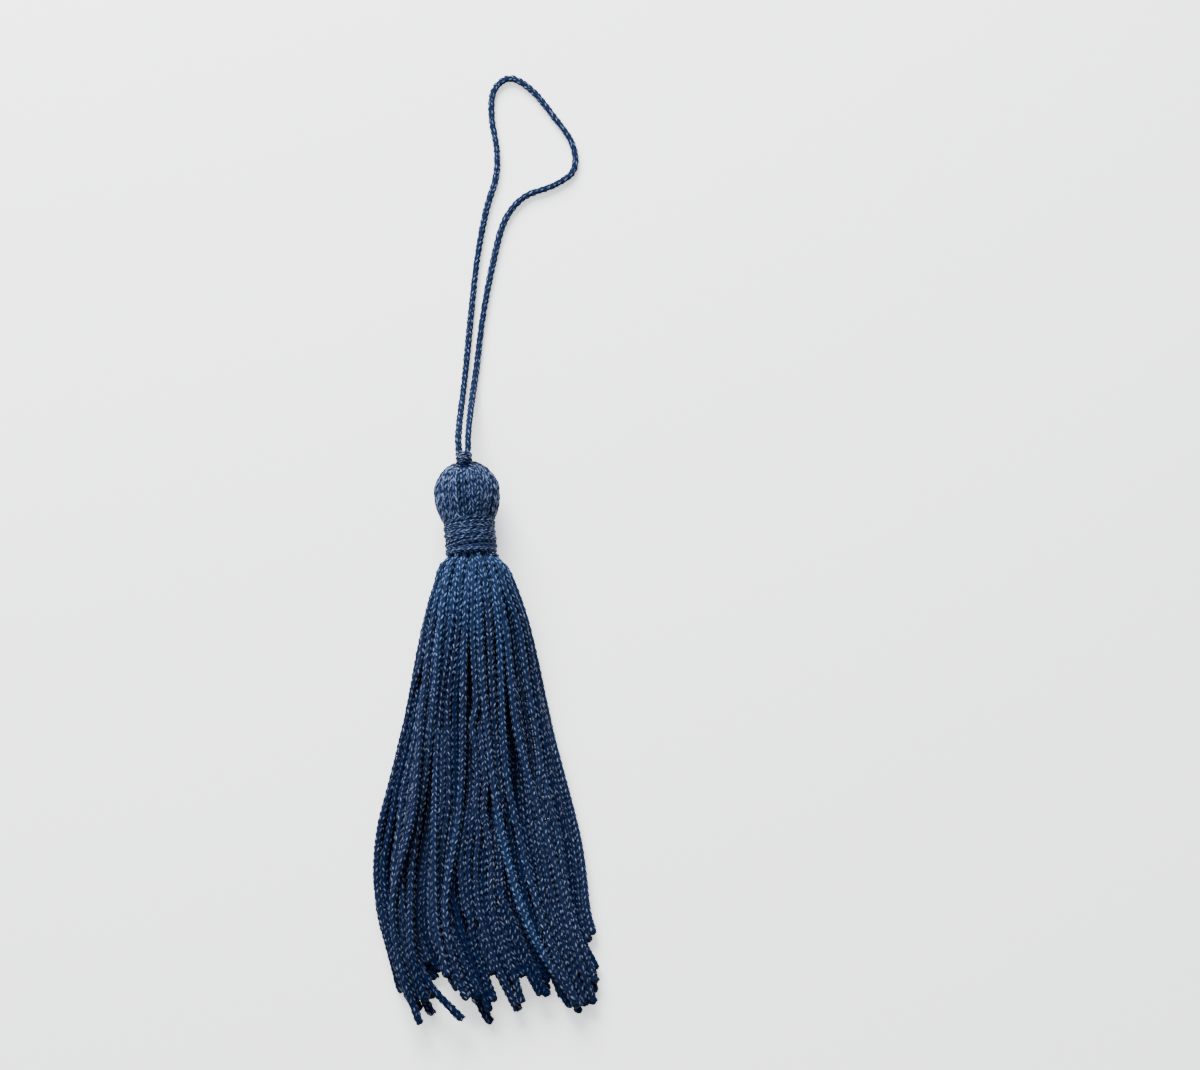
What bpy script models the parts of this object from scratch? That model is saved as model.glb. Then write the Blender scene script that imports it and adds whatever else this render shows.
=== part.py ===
"""A tassel of knitted chainette yarn, lying on its back on the floor.

The yarns are folded over a hanging cord into a ball head, bound at the neck, and spread
below it into a skirt of free strands that has settled on the floor. The cord is doubled
into a long hanging loop, and a small knot closes it on the crown.

Units are metres, +Z is up. The tassel points along +Y: its loop lies at +Y, its skirt at
-Y. The model is laid out from the lower edge of the neck binding, and moved at the end so
that the origin is the bottom centre of the head, neck and skirt together.
"""

import math

import bmesh
import bpy
import numpy as np
from mathutils import Vector

MM = 0.001
GAP = 0.3 * MM

# The yarn, and how many ends of it hang in the skirt.
YARN = 1.25 * MM
STRANDS = 72
NAVY = (0.019, 0.045, 0.141, 1.0)

# The head and neck are turned about one axis, which leans a little to the left.
AXIS_HEIGHT = 4.75 * MM
HEAD_LEAN = math.radians(5.0)
HEAD_RADIUS = 4.92 * MM
HEAD_DROP = 4.1 * MM
CROWN_RISE = 4.85 * MM
DIMPLE_DEPTH = 0.7 * MM
DIMPLE_RADIUS = 1.5 * MM
NECK_HEIGHT = 5.9 * MM
CORE_RADIUS = 2.75 * MM
RIBS = 26
RIB_DEPTH = 0.13 * MM

# The shoulder is where the strands fan out, still pressed together, below the binding.
SHOULDER_LENGTH = 2.5 * MM
SHOULDER_RADIUS = 4.45 * MM
SHOULDER_SPREAD = 1.34

# The binding's turns of tight yarn.
BINDING_RADIUS = 3.85 * MM
BINDING_TURNS = 8
TURN_DEPTH = 0.26 * MM
BINDING_STEPS = 32

# The knot that closes the loop sits in the dimple of the crown.
KNOT_RADIUS = 1.3 * MM
KNOT_WRAPS = 2
WRAP_HEIGHT = 0.95 * MM
KNOT_STEPS = 16

# The strands of the skirt: four-sided, thin at the root, a little thicker at the cut end.
# A thickness is measured across corners.
THICKNESS = 1.05 * MM
SHOULDER_THICKNESS = 0.8 * MM
ROOT_THICKNESS = 0.68 * MM
ROOT_BELOW = 1.8 * MM
FULL_BELOW = 9.0 * MM
END_SWELLING = 1.08
SPACING = 1.11
WANDER = 0.7 * MM
RAGGED = 1.4 * MM

# Distances below the binding, in millimetres, at which the strands' lie is worked out.
STATIONS = (2.5, 5.0, 9.0, 15.0, 21.0, 28.0, 35.0, 42.0, 49.0, 56.0, 63.0, 70.0)
STEPS_BETWEEN = 4
SETTLING_ROUNDS = 320
SINKING = 0.008 * MM

# The skirt as it lies: distance below the binding, left edge, right edge and height of the
# mound, in millimetres, and how flat it lies on the floor, from 0 (round) to 1 (flat).
SKIRT = (
    # below, left, right, height, flatness
    (2.5, -5.75, 6.15, 8.9, 0.0),
    (5.0, -6.7, 7.5, 9.0, 0.4),
    (9.0, -8.3, 8.8, 8.4, 0.8),
    (14.0, -9.2, 9.9, 7.7, 1.0),
    (20.0, -9.9, 11.1, 6.9, 1.0),
    (31.0, -12.1, 13.8, 5.5, 1.0),
    (40.0, -15.2, 16.0, 4.5, 1.0),
    (47.0, -17.0, 17.7, 4.0, 1.0),
    (55.0, -18.3, 19.0, 3.7, 1.0),
    (70.0, -19.0, 20.5, 3.4, 1.0),
)
# How far below the binding the cut ends reach, in millimetres, from the left edge to the
# right one.
ENDS = (
    # across, reach
    (-1.0, 50.0),
    (-0.8, 56.5),
    (-0.55, 62.5),
    (-0.3, 65.0),
    (0.0, 64.5),
    (0.35, 63.5),
    (0.75, 64.5),
    (1.0, 59.5),
)

# The hanging loop's route from the knot and back to it, in millimetres.
LOOP_ROUTE = (
    # right, up, height
    (-2.14, 16.7, 4.72),
    (-2.18, 18.6, 4.45),
    (-2.0, 22.0, 2.9),
    (-1.7, 25.5, 1.3),
    (-1.3, 30.0, 0.64),
    (-0.6, 38.0, 0.63),
    (0.3, 47.0, 0.63),
    (1.6, 54.5, 0.63),
    (3.0, 59.5, 0.63),
    (3.1, 64.0, 0.63),
    (2.3, 69.0, 0.63),
    (2.6, 73.2, 0.63),
    (5.0, 75.2, 0.63),
    (8.3, 73.3, 0.63),
    (11.6, 69.2, 0.63),
    (14.5, 64.8, 0.63),
    (14.7, 60.6, 0.63),
    (11.6, 58.2, 0.63),
    (7.2, 56.4, 0.63),
    (4.3, 52.6, 0.63),
    (2.6, 46.0, 0.63),
    (1.2, 38.0, 0.63),
    (0.3, 30.0, 0.64),
    (-0.25, 25.5, 1.3),
    (-0.55, 22.0, 2.9),
    (-0.75, 18.6, 4.45),
    (-0.74, 16.7, 4.72),
)
LOOP_POINTS = 74


def clear_scene():
    """Remove what a new file starts with."""
    for ob in list(bpy.data.objects):
        bpy.data.objects.remove(ob, do_unlink=True)


def new_collection(name):
    """A collection in the scene."""
    collection = bpy.data.collections.new(name)
    bpy.context.scene.collection.children.link(collection)
    return collection


def yarn_material(name, roughness):
    """Navy polyester yarn, tighter and so a little smoother where it is wound."""
    material = bpy.data.materials.new(name)
    material.use_nodes = True
    shader = material.node_tree.nodes["Principled BSDF"]
    shader.inputs["Base Color"].default_value = NAVY
    shader.inputs["Roughness"].default_value = roughness
    shader.inputs["Metallic"].default_value = 0.0
    return material


def new_object(name, data, collection, material=None):
    """Put data in the collection as an object of its own."""
    ob = bpy.data.objects.new(name, data)
    if material:
        data.materials.append(material)
    collection.objects.link(ob)
    return ob


def turned(profile, steps, closed=False):
    """Spin a profile of (radius, height) once about Z."""
    bm = bmesh.new()
    verts = [bm.verts.new((radius, 0.0, height)) for radius, height in profile]
    after = verts[1:] + verts[:1] if closed else verts[1:]
    edges = [bm.edges.new(pair) for pair in zip(verts, after)]
    bmesh.ops.spin(
        bm,
        geom=verts + edges,
        cent=(0.0, 0.0, 0.0),
        axis=(0.0, 0.0, 1.0),
        angle=math.tau,
        steps=steps,
        use_merge=True,
    )
    bmesh.ops.remove_doubles(bm, verts=bm.verts, dist=1e-7)
    bmesh.ops.recalc_face_normals(bm, faces=bm.faces)
    return bm


def finished_mesh(name, bm, sharp_angle):
    """Turn the bmesh into a mesh, shaded smooth but for its sharp edges."""
    mesh = bpy.data.meshes.new(name)
    bm.to_mesh(mesh)
    bm.free()
    mesh.shade_smooth()
    mesh.set_sharp_from_angle(angle=sharp_angle)
    return mesh


def lay_down(ob):
    """Lay a standing piece on its back, leaning as the head does."""
    ob.rotation_euler = (-math.pi / 2, 0.0, HEAD_LEAN)
    ob.location = (0.0, 0.0, AXIS_HEIGHT)


# Head, neck core and shoulder


def head_profile():
    """From the crown's dimple over the ball and the neck to the end of the shoulder."""
    widest = NECK_HEIGHT + HEAD_DROP
    dimple = widest + CROWN_RISE - DIMPLE_DEPTH
    profile = [(0.0, dimple), (DIMPLE_RADIUS * 0.8, dimple)]
    for degrees in (70, 58, 46, 34, 22, 10):
        angle = math.radians(degrees)
        profile.append((HEAD_RADIUS * math.cos(angle), widest + CROWN_RISE * math.sin(angle)))
    # Below its widest line the binding draws the ball in only as far as its own edge.
    lower_half = HEAD_DROP * 1.63
    for share in (0.0, 0.3, 0.6, 0.9):
        drop = HEAD_DROP * share
        radius = HEAD_RADIUS * math.sqrt(1 - (drop / lower_half) ** 2)
        profile.append((radius, widest - drop))
    profile += [(3.4 * MM, NECK_HEIGHT), (CORE_RADIUS, NECK_HEIGHT), (CORE_RADIUS, 0.0)]
    for degrees in (30, 58, 90):
        angle = math.radians(degrees)
        radius = CORE_RADIUS + (SHOULDER_RADIUS - CORE_RADIUS) * math.sin(angle)
        profile.append((radius, -SHOULDER_LENGTH * (1 - math.cos(angle))))
    profile.append((0.0, -SHOULDER_LENGTH))
    return profile


def raise_ribs(bm):
    """Raise the folded yarns as ribs, and spread the shoulder sideways."""
    for vert in bm.verts:
        radius = math.hypot(vert.co.x, vert.co.y)
        proud = (radius - CORE_RADIUS) / (1.5 * MM)
        if proud > 0.05:
            around = math.atan2(vert.co.y, vert.co.x)
            grown = 1 + RIB_DEPTH * min(1.0, proud) * math.cos(RIBS * around) / radius
            vert.co.x *= grown
            vert.co.y *= grown
        if vert.co.z < 0:
            vert.co.x *= 1 - (SHOULDER_SPREAD - 1) * vert.co.z / SHOULDER_LENGTH


def flatten_on_floor(bm):
    """Cut the small flat on which the ball rests. Local +Y points at the floor."""
    cut = bmesh.ops.bisect_plane(
        bm,
        geom=bm.verts[:] + bm.edges[:] + bm.faces[:],
        plane_co=(0.0, AXIS_HEIGHT, 0.0),
        plane_no=(0.0, 1.0, 0.0),
        clear_outer=True,
    )
    rim = [item for item in cut["geom_cut"] if isinstance(item, bmesh.types.BMEdge)]
    bmesh.ops.contextual_create(bm, geom=rim)
    bmesh.ops.recalc_face_normals(bm, faces=bm.faces)


def make_head(collection, material):
    """The ball head, the core of the neck and the ribbed shoulder, as one turned body."""
    bm = turned(head_profile(), 2 * RIBS)
    raise_ribs(bm)
    flatten_on_floor(bm)
    mesh = finished_mesh("head_and_skirt", bm, math.radians(50))
    head = new_object("head_and_skirt", mesh, collection, material)
    lay_down(head)
    return head


# Skirt


def skirt_at(below):
    """The skirt's edges, height, flatness and lowest line, this far below the binding."""
    rows = np.array(SKIRT)
    left, right, height = (
        np.interp(below, rows[:, 0] * MM, rows[:, column] * MM) for column in (1, 2, 3)
    )
    flatness = np.interp(below, rows[:, 0] * MM, rows[:, 4])
    base = (1 - flatness) * (AXIS_HEIGHT - SHOULDER_RADIUS)
    return left, right, height, flatness, base


def reach_over(x, below):
    """How low and how high the skirt reaches over x."""
    left, right, height, flatness, base = skirt_at(below)
    across = (2 * x - left - right) / (right - left)
    dome = np.sqrt(np.clip(1 - across**2, 0, 1))
    low = base + height * (1 - flatness) * (1 - dome) / 2
    high = base + height * ((1 - flatness) * (1 + dome) / 2 + flatness * dome)
    return low, high


def thickness_at(below):
    """A strand is pressed thin at its root and full a little below."""
    stops = (ROOT_BELOW, SHOULDER_LENGTH, FULL_BELOW)
    return np.interp(below, stops, (ROOT_THICKNESS, SHOULDER_THICKNESS, THICKNESS))


def first_lie(stations, sideways):
    """The strands as an unsettled bundle, spread in step with the skirt's own edges."""
    number = np.arange(STRANDS)
    radius = np.sqrt((number + 0.5) / STRANDS)
    around = number * math.pi * (3 - math.sqrt(5))
    lie = []
    for station, sway in zip(stations, sideways):
        left, right, _, _, _ = skirt_at(station)
        half_width = (right - left - thickness_at(station)) / 2
        x = (left + right) / 2 + half_width * radius * np.cos(around) + sway
        low, high = reach_over(x, station)
        room = np.maximum(high - low - thickness_at(station), 0)
        chord = np.sqrt(1 - (radius * np.cos(around)) ** 2)
        up = (1 + radius * np.sin(around) / chord) / 2
        lie.append(np.stack([x, low + thickness_at(station) / 2 + room * up], axis=1))
    return np.array(lie), radius * np.cos(around)


def steps_between(count):
    """Weights that read values at the stations and at even steps between them."""
    rows = []
    for station in range(count - 1):
        for step in range(STEPS_BETWEEN):
            row = np.zeros(count)
            row[station + 1] = step / STEPS_BETWEEN
            row[station] = 1 - row[station + 1]
            rows.append(row)
    return np.array(rows)


def lay_strands():
    """Where the strands lie, as they fan out from the shoulder and settle on the floor.

    A round bundle spreads with the skirt and wanders a little. Then, round after round,
    strands that touch part, the pile sinks to the floor and each strand straightens.
    Returns the stations, the strands' centres [station, strand, (x, z)] and their reach.
    """
    random = np.random.default_rng(7)
    stations = np.array(STATIONS) * MM
    wave = random.uniform(36 * MM, 70 * MM, STRANDS)
    phase = random.uniform(0, math.tau, STRANDS)
    grown = np.clip((stations - stations[0]) / (25 * MM), 0, 1)[:, None]
    sideways = WANDER * grown * np.sin(math.tau * stations[:, None] / wave + phase)
    lie, across = first_lie(stations, sideways)
    reach = np.interp(across, *np.array(ENDS).T) * MM + RAGGED * random.uniform(-1, 1, STRANDS)

    weights = steps_between(len(stations))
    places = weights @ stations
    present = places[:, None] < reach + 1.5 * MM
    both = present[:, :, None] & present[:, None, :]
    spacing = np.array([thickness_at(place) for place in places])[:, None, None] * SPACING
    wanted = lie[:, :, 0].copy()
    rest = np.array([thickness_at(station) for station in stations]) * math.cos(math.pi / 4) / 2
    edges = [skirt_at(station)[:2] for station in stations]
    for turn in range(SETTLING_ROUNDS):
        loose = 1.0 if turn < SETTLING_ROUNDS * 0.7 else 0.0
        now = np.einsum("fs,snc->fnc", weights, lie)
        apart = now[:, :, None] - now[:, None]
        distance = np.hypot(apart[..., 0], apart[..., 1])
        distance[:, range(STRANDS), range(STRANDS)] = 1.0
        short = np.clip(spacing - distance, 0, None) * both
        push = (apart * (short / distance)[..., None]).sum(axis=2)
        lie += 0.3 * np.einsum("fs,fnc->snc", weights, push)
        lie[:, :, 0] += 0.03 * loose * (wanted - lie[:, :, 0])
        lie[1:-1] += 0.06 * loose * (lie[:-2] - 2 * lie[1:-1] + lie[2:])
        for row, (left, right) in enumerate(edges):
            x, z = lie[row, :, 0], lie[row, :, 1]
            side = thickness_at(stations[row]) / 2
            x[:] = np.clip(x, left + side, right - side)
            low, high = reach_over(x, stations[row])
            sinking = loose * SINKING if row > 1 else 0.0
            z -= sinking + 0.12 * loose * np.clip(z + side - high, 0, None)
            z[:] = np.maximum(z, low + rest[row])
    return stations, lie, reach


def strand_route(stations, centres, reach):
    """One strand's points and thicknesses, from inside the shoulder to its cut end."""
    slope = (centres[1] - centres[0]) / (stations[1] - stations[0])
    root = centres[0] - slope * (stations[0] - ROOT_BELOW)
    points = [Vector((root[0], -ROOT_BELOW, root[1]))]
    thicknesses = [ROOT_THICKNESS]
    below = [place for place in stations if place < reach - 3 * MM]
    for place in [*below, reach - 1.2 * MM, reach]:
        x, z = (np.interp(place, stations, centres[:, axis]) for axis in (0, 1))
        points.append(Vector((x, -place, z)))
        thicknesses.append(thickness_at(place))
    thicknesses[-1] *= END_SWELLING
    return points, thicknesses


def make_skirt(collection):
    """The free strands: square-sided tubes along their routes, made into one mesh."""
    stations, lie, reach = lay_strands()
    curve = bpy.data.curves.new("skirt_strands", "CURVE")
    curve.dimensions = "3D"
    curve.twist_mode = "Z_UP"
    curve.bevel_depth = 1.0
    curve.bevel_resolution = 0
    curve.use_fill_caps = True
    for number in range(STRANDS):
        points, thicknesses = strand_route(stations, lie[:, number], reach[number])
        spline = curve.splines.new("POLY")
        spline.points.add(len(points) - 1)
        for point, place, thickness in zip(spline.points, points, thicknesses):
            point.co = (*place, 1.0)
            point.radius = thickness / 2
            point.tilt = math.pi / 4
    guide = bpy.data.objects.new("skirt_strands", curve)
    collection.objects.link(guide)
    mesh = bpy.data.meshes.new_from_object(
        guide.evaluated_get(bpy.context.evaluated_depsgraph_get())
    )
    bpy.data.objects.remove(guide, do_unlink=True)
    bm = bmesh.new()
    bm.from_mesh(mesh)
    bmesh.ops.remove_doubles(bm, verts=bm.verts, dist=1e-6)
    # Where a strand rests on the floor it rests level.
    for vert in bm.verts:
        vert.co.z = max(vert.co.z, 0.0)
    bmesh.ops.recalc_face_normals(bm, faces=bm.faces)
    bm.to_mesh(mesh)
    bm.free()
    strands = new_object("skirt_strands", mesh, collection)
    strands.hide_render = True
    strands.display_type = "WIRE"
    return strands


def fuse(body, other):
    """Join another shape to a body with a Boolean union."""
    union = body.modifiers.new("fuse", "BOOLEAN")
    union.operation = "UNION"
    union.solver = "EXACT"
    union.object = other


# Binding, knot and loop


def binding_profile():
    """Round the ring's section: up the bore, and down over the tight turns outside."""
    bore = CORE_RADIUS + GAP
    low, high = GAP, NECK_HEIGHT - GAP
    turn = (high - low) / BINDING_TURNS
    groove = BINDING_RADIUS - TURN_DEPTH
    profile = [(bore, low), (bore, high), (groove, high)]
    for number in range(BINDING_TURNS):
        top = high - number * turn
        profile += [(BINDING_RADIUS, top - 0.3 * turn), (BINDING_RADIUS, top - 0.7 * turn)]
        profile.append((groove, top - turn))
    return profile


def knot_profile():
    """From the knot's top, over its wraps, to its foot in the crown's dimple."""
    foot = NECK_HEIGHT + HEAD_DROP + CROWN_RISE - DIMPLE_DEPTH + GAP
    waist = KNOT_RADIUS * 0.78
    profile = [(0.0, foot + KNOT_WRAPS * WRAP_HEIGHT)]
    for number in reversed(range(KNOT_WRAPS)):
        middle = foot + (number + 0.5) * WRAP_HEIGHT
        profile.append((waist, middle + 0.5 * WRAP_HEIGHT))
        profile.append((KNOT_RADIUS, middle + 0.24 * WRAP_HEIGHT))
        profile.append((KNOT_RADIUS, middle - 0.24 * WRAP_HEIGHT))
    profile += [(waist, foot), (0.0, foot)]
    return profile


def make_turned_piece(name, profile, steps, closed, collection, material):
    """A small turned piece on the axis of the head."""
    mesh = finished_mesh(name, turned(profile, steps, closed), math.radians(60))
    piece = new_object(name, mesh, collection, material)
    lay_down(piece)
    return piece


def smooth_route(waypoints, count):
    """Points evenly spaced along a smooth curve through the waypoints."""
    points = [Vector(p) for p in waypoints]
    points = [2 * points[0] - points[1], *points, 2 * points[-1] - points[-2]]
    dense = []
    for a, b, c, d in zip(points, points[1:], points[2:], points[3:]):
        for step in range(16):
            t = step / 16
            dense.append(
                0.5
                * (
                    2 * b
                    + (c - a) * t
                    + (2 * a - 5 * b + 4 * c - d) * t**2
                    + (3 * b - a - 3 * c + d) * t**3
                )
            )
    dense = np.array([*dense, points[-2]])
    along = np.concatenate([[0], np.cumsum(np.linalg.norm(np.diff(dense, axis=0), axis=1))])
    even = np.linspace(0, along[-1], count)
    return np.stack([np.interp(even, along, dense[:, axis]) for axis in range(3)], axis=1)


def make_loop(collection, material):
    """The hanging cord: one length of yarn, doubled, that lies on the floor."""
    curve = bpy.data.curves.new("hanging_loop", "CURVE")
    curve.dimensions = "3D"
    curve.bevel_depth = YARN / 2
    curve.bevel_resolution = 2
    curve.use_fill_caps = True
    spline = curve.splines.new("POLY")
    spline.points.add(LOOP_POINTS - 1)
    route = smooth_route(np.array(LOOP_ROUTE) * MM, LOOP_POINTS)
    for point, place in zip(spline.points, route):
        point.co = (*place, 1.0)
    return new_object("hanging_loop", curve, collection, material)


def centre_on_origin(pieces, measured):
    """Stand the bottom centre of the measured pieces on the origin."""
    bpy.context.view_layer.update()
    depsgraph = bpy.context.evaluated_depsgraph_get()
    verts = np.array(
        [
            ob.matrix_world @ vert.co
            for ob in measured
            for vert in ob.evaluated_get(depsgraph).data.vertices
        ]
    )
    low, high = verts.min(axis=0), verts.max(axis=0)
    anchor = bpy.data.objects.new("tassel_anchor", None)
    bpy.context.scene.collection.objects.link(anchor)
    anchor.location = (-(low[0] + high[0]) / 2, -(low[1] + high[1]) / 2, -low[2])
    for ob in pieces:
        ob.parent = anchor


def main():
    clear_scene()
    parts = new_collection("tassel")
    shapes = new_collection("fused_shapes")
    fringe_yarn = yarn_material("fringe_yarn", 0.55)
    wound_yarn = yarn_material("wound_yarn", 0.5)
    cord_yarn = yarn_material("cord_yarn", 0.55)

    head = make_head(parts, fringe_yarn)
    strands = make_skirt(shapes)
    fuse(head, strands)
    binding = make_turned_piece(
        "neck_binding", binding_profile(), BINDING_STEPS, True, parts, wound_yarn
    )
    knot = make_turned_piece("loop_knot", knot_profile(), KNOT_STEPS, False, parts, cord_yarn)
    loop = make_loop(parts, cord_yarn)
    centre_on_origin([head, strands, binding, knot, loop], [head, binding])


main()
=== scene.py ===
import math

import bpy
import numpy as np
from mathutils import Matrix, Vector


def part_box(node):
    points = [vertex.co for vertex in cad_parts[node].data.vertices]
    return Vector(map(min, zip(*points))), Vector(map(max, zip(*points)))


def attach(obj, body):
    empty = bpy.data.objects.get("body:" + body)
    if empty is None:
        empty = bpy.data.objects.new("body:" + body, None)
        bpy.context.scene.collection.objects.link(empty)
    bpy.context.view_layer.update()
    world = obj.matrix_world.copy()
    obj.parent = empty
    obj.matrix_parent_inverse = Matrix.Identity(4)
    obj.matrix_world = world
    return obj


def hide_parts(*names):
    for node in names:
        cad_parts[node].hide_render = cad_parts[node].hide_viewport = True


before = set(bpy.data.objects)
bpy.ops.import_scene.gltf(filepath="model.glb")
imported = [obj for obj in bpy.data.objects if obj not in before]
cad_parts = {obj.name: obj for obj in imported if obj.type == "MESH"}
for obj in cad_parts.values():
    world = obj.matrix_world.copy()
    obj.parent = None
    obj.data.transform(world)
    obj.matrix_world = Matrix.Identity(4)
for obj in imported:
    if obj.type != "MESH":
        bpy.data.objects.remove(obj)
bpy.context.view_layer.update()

# ------------------------------------------------------------------ floor, light, camera
# The tassel lies on its back on a plain pale floor, under soft light that comes mostly
# from above its head. The camera looks down on its face, a little from the skirt's side.

MM = 0.001
PIXEL = 0.147 * MM
HEAD_LEAN = math.radians(5.0)
NECK_HEIGHT = 5.9 * MM
AXIS_HEIGHT = 4.75 * MM

# The middle of the binding's lower edge: every piece is placed from it.
along = Vector((-math.sin(HEAD_LEAN), math.cos(HEAD_LEAN), 0.0))
ring_low, ring_high = (Vector(corner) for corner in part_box("neck_binding"))
home = (ring_low + ring_high) / 2 - along * NECK_HEIGHT / 2
home.z = 0.0

bpy.ops.object.select_all(action="DESELECT")


def soft_panel(name, place, target, size, power):
    """A large soft lamp."""
    bpy.ops.object.light_add(type="AREA", location=place)
    lamp = bpy.context.object
    lamp.name = name
    lamp.data.size = size
    lamp.data.energy = power
    lamp.rotation_euler = (target - Vector(place)).to_track_quat("-Z", "Y").to_euler()
    return lamp


CAMERA_ELEVATION = math.radians(78.0)
CAMERA_DISTANCE = 0.55
FRAME_WIDTH, FRAME_HEIGHT = 1200, 1070
HOME_PIXEL = (473, 563)
view_middle = home + Vector(
    (
        (FRAME_WIDTH / 2 - HOME_PIXEL[0]) * PIXEL,
        (HOME_PIXEL[1] - FRAME_HEIGHT / 2) * PIXEL,
        AXIS_HEIGHT / 2,
    )
)
bpy.ops.object.camera_add()
camera = bpy.context.object
camera.name = "camera"
away = Vector((0.0, -math.cos(CAMERA_ELEVATION), math.sin(CAMERA_ELEVATION)))
camera.location = view_middle + away * CAMERA_DISTANCE
camera.rotation_euler = (-away).to_track_quat("-Z", "Y").to_euler()
camera.data.lens = camera.data.sensor_width * CAMERA_DISTANCE / (FRAME_WIDTH * PIXEL)
camera.data.clip_start = 0.01
bpy.context.scene.camera = camera

KEY_FROM = Vector((-0.14, 0.44, 0.32))
FILL_FROM = Vector((-0.34, 0.02, 0.55))
soft_panel("key_panel", view_middle + KEY_FROM, view_middle, size=0.34, power=12.5)
soft_panel("fill_panel", view_middle + FILL_FROM, view_middle, size=0.6, power=2.5)

world = bpy.data.worlds.new("studio")
bpy.context.scene.world = world
world.use_nodes = True
sky = world.node_tree.nodes["Background"]
sky.inputs["Color"].default_value = (0.78, 0.87, 1.0, 1.0)
sky.inputs["Strength"].default_value = 0.38

FLOOR_SIZE = 3.0
FLOOR_HEIGHT = -0.05 * MM
bpy.ops.mesh.primitive_plane_add(size=FLOOR_SIZE, location=(0.0, 0.0, FLOOR_HEIGHT))
floor = bpy.context.object
floor.name = "floor"
bpy.ops.object.transform_apply(location=True, rotation=True, scale=True)
floor_paint = bpy.data.materials.new("pale_floor")
floor_paint.use_nodes = True
floor_shader = floor_paint.node_tree.nodes["Principled BSDF"]
floor_shader.inputs["Base Color"].default_value = (0.86, 0.87, 0.88, 1.0)
floor_shader.inputs["Roughness"].default_value = 0.7
floor_shader.inputs["Emission Color"].default_value = (1.0, 1.0, 1.0, 1.0)
floor_shader.inputs["Emission Strength"].default_value = 0.85
floor.data.materials.append(floor_paint)


# ------------------------------------------------------------------ the hanging cord
# One length of navy chainette, a fine tube knitted from silky polyester, doubled into a
# long loop. Both legs leave the crown through the knot, drop to the floor and lie on it.

YARN = 1.25 * MM
WALES = 3
LEGS = 2 * WALES
ROUNDS = 3
COURSE = 0.98 * MM
LEG_WIDTH = 0.31 * MM
LEG_DEPTH = 0.32 * MM
LEG_LENGTH = 0.78 * MM
LEG_SLANT = math.radians(15.0)


class Shade:
    """A value in a material, so that sums on it read as plain Python."""

    def __init__(self, tree, socket):
        self.tree, self.socket = tree, socket

    def join(self, operation, first, second):
        node = self.tree.nodes.new("ShaderNodeMath")
        node.operation = operation
        for inlet, value in zip(node.inputs, (first, second)):
            if isinstance(value, Shade):
                self.tree.links.new(value.socket, inlet)
            else:
                inlet.default_value = value
        return Shade(self.tree, node.outputs[0])

    def __add__(self, other):
        return self.join("ADD", self, other)

    __radd__ = __add__

    def __mul__(self, other):
        return self.join("MULTIPLY", self, other)

    __rmul__ = __mul__

    def __sub__(self, other):
        return self.join("SUBTRACT", self, other)

    def __rsub__(self, other):
        return self.join("SUBTRACT", other, self)

    def clamped(self):
        kept = self.join("ADD", self, 0.0)
        kept.socket.node.use_clamp = True
        return kept


def shade_node(tree, kind, settings=(), **inputs):
    """Add a node, its settings first and then the values or links of its sockets."""
    node = tree.nodes.new(kind)
    for name, value in dict(settings).items():
        setattr(node, name, value)
    for name, value in inputs.items():
        inlet = node.inputs[int(name[1:])] if name[0] == "n" and name[1:].isdigit() else None
        inlet = inlet or node.inputs[name.replace("_", " ")]
        if isinstance(value, Shade):
            tree.links.new(value.socket, inlet)
        else:
            inlet.default_value = value
    return node


# How fine the yarn's patterns and its painted glints are: across and along a stitch leg, and in spots
# a metre.
FILAMENTS = (26.0, 1.6, 1.0)
MOTTLE = 1900.0
SPARKS = 4600.0
PATCHES = 90.0


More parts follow.
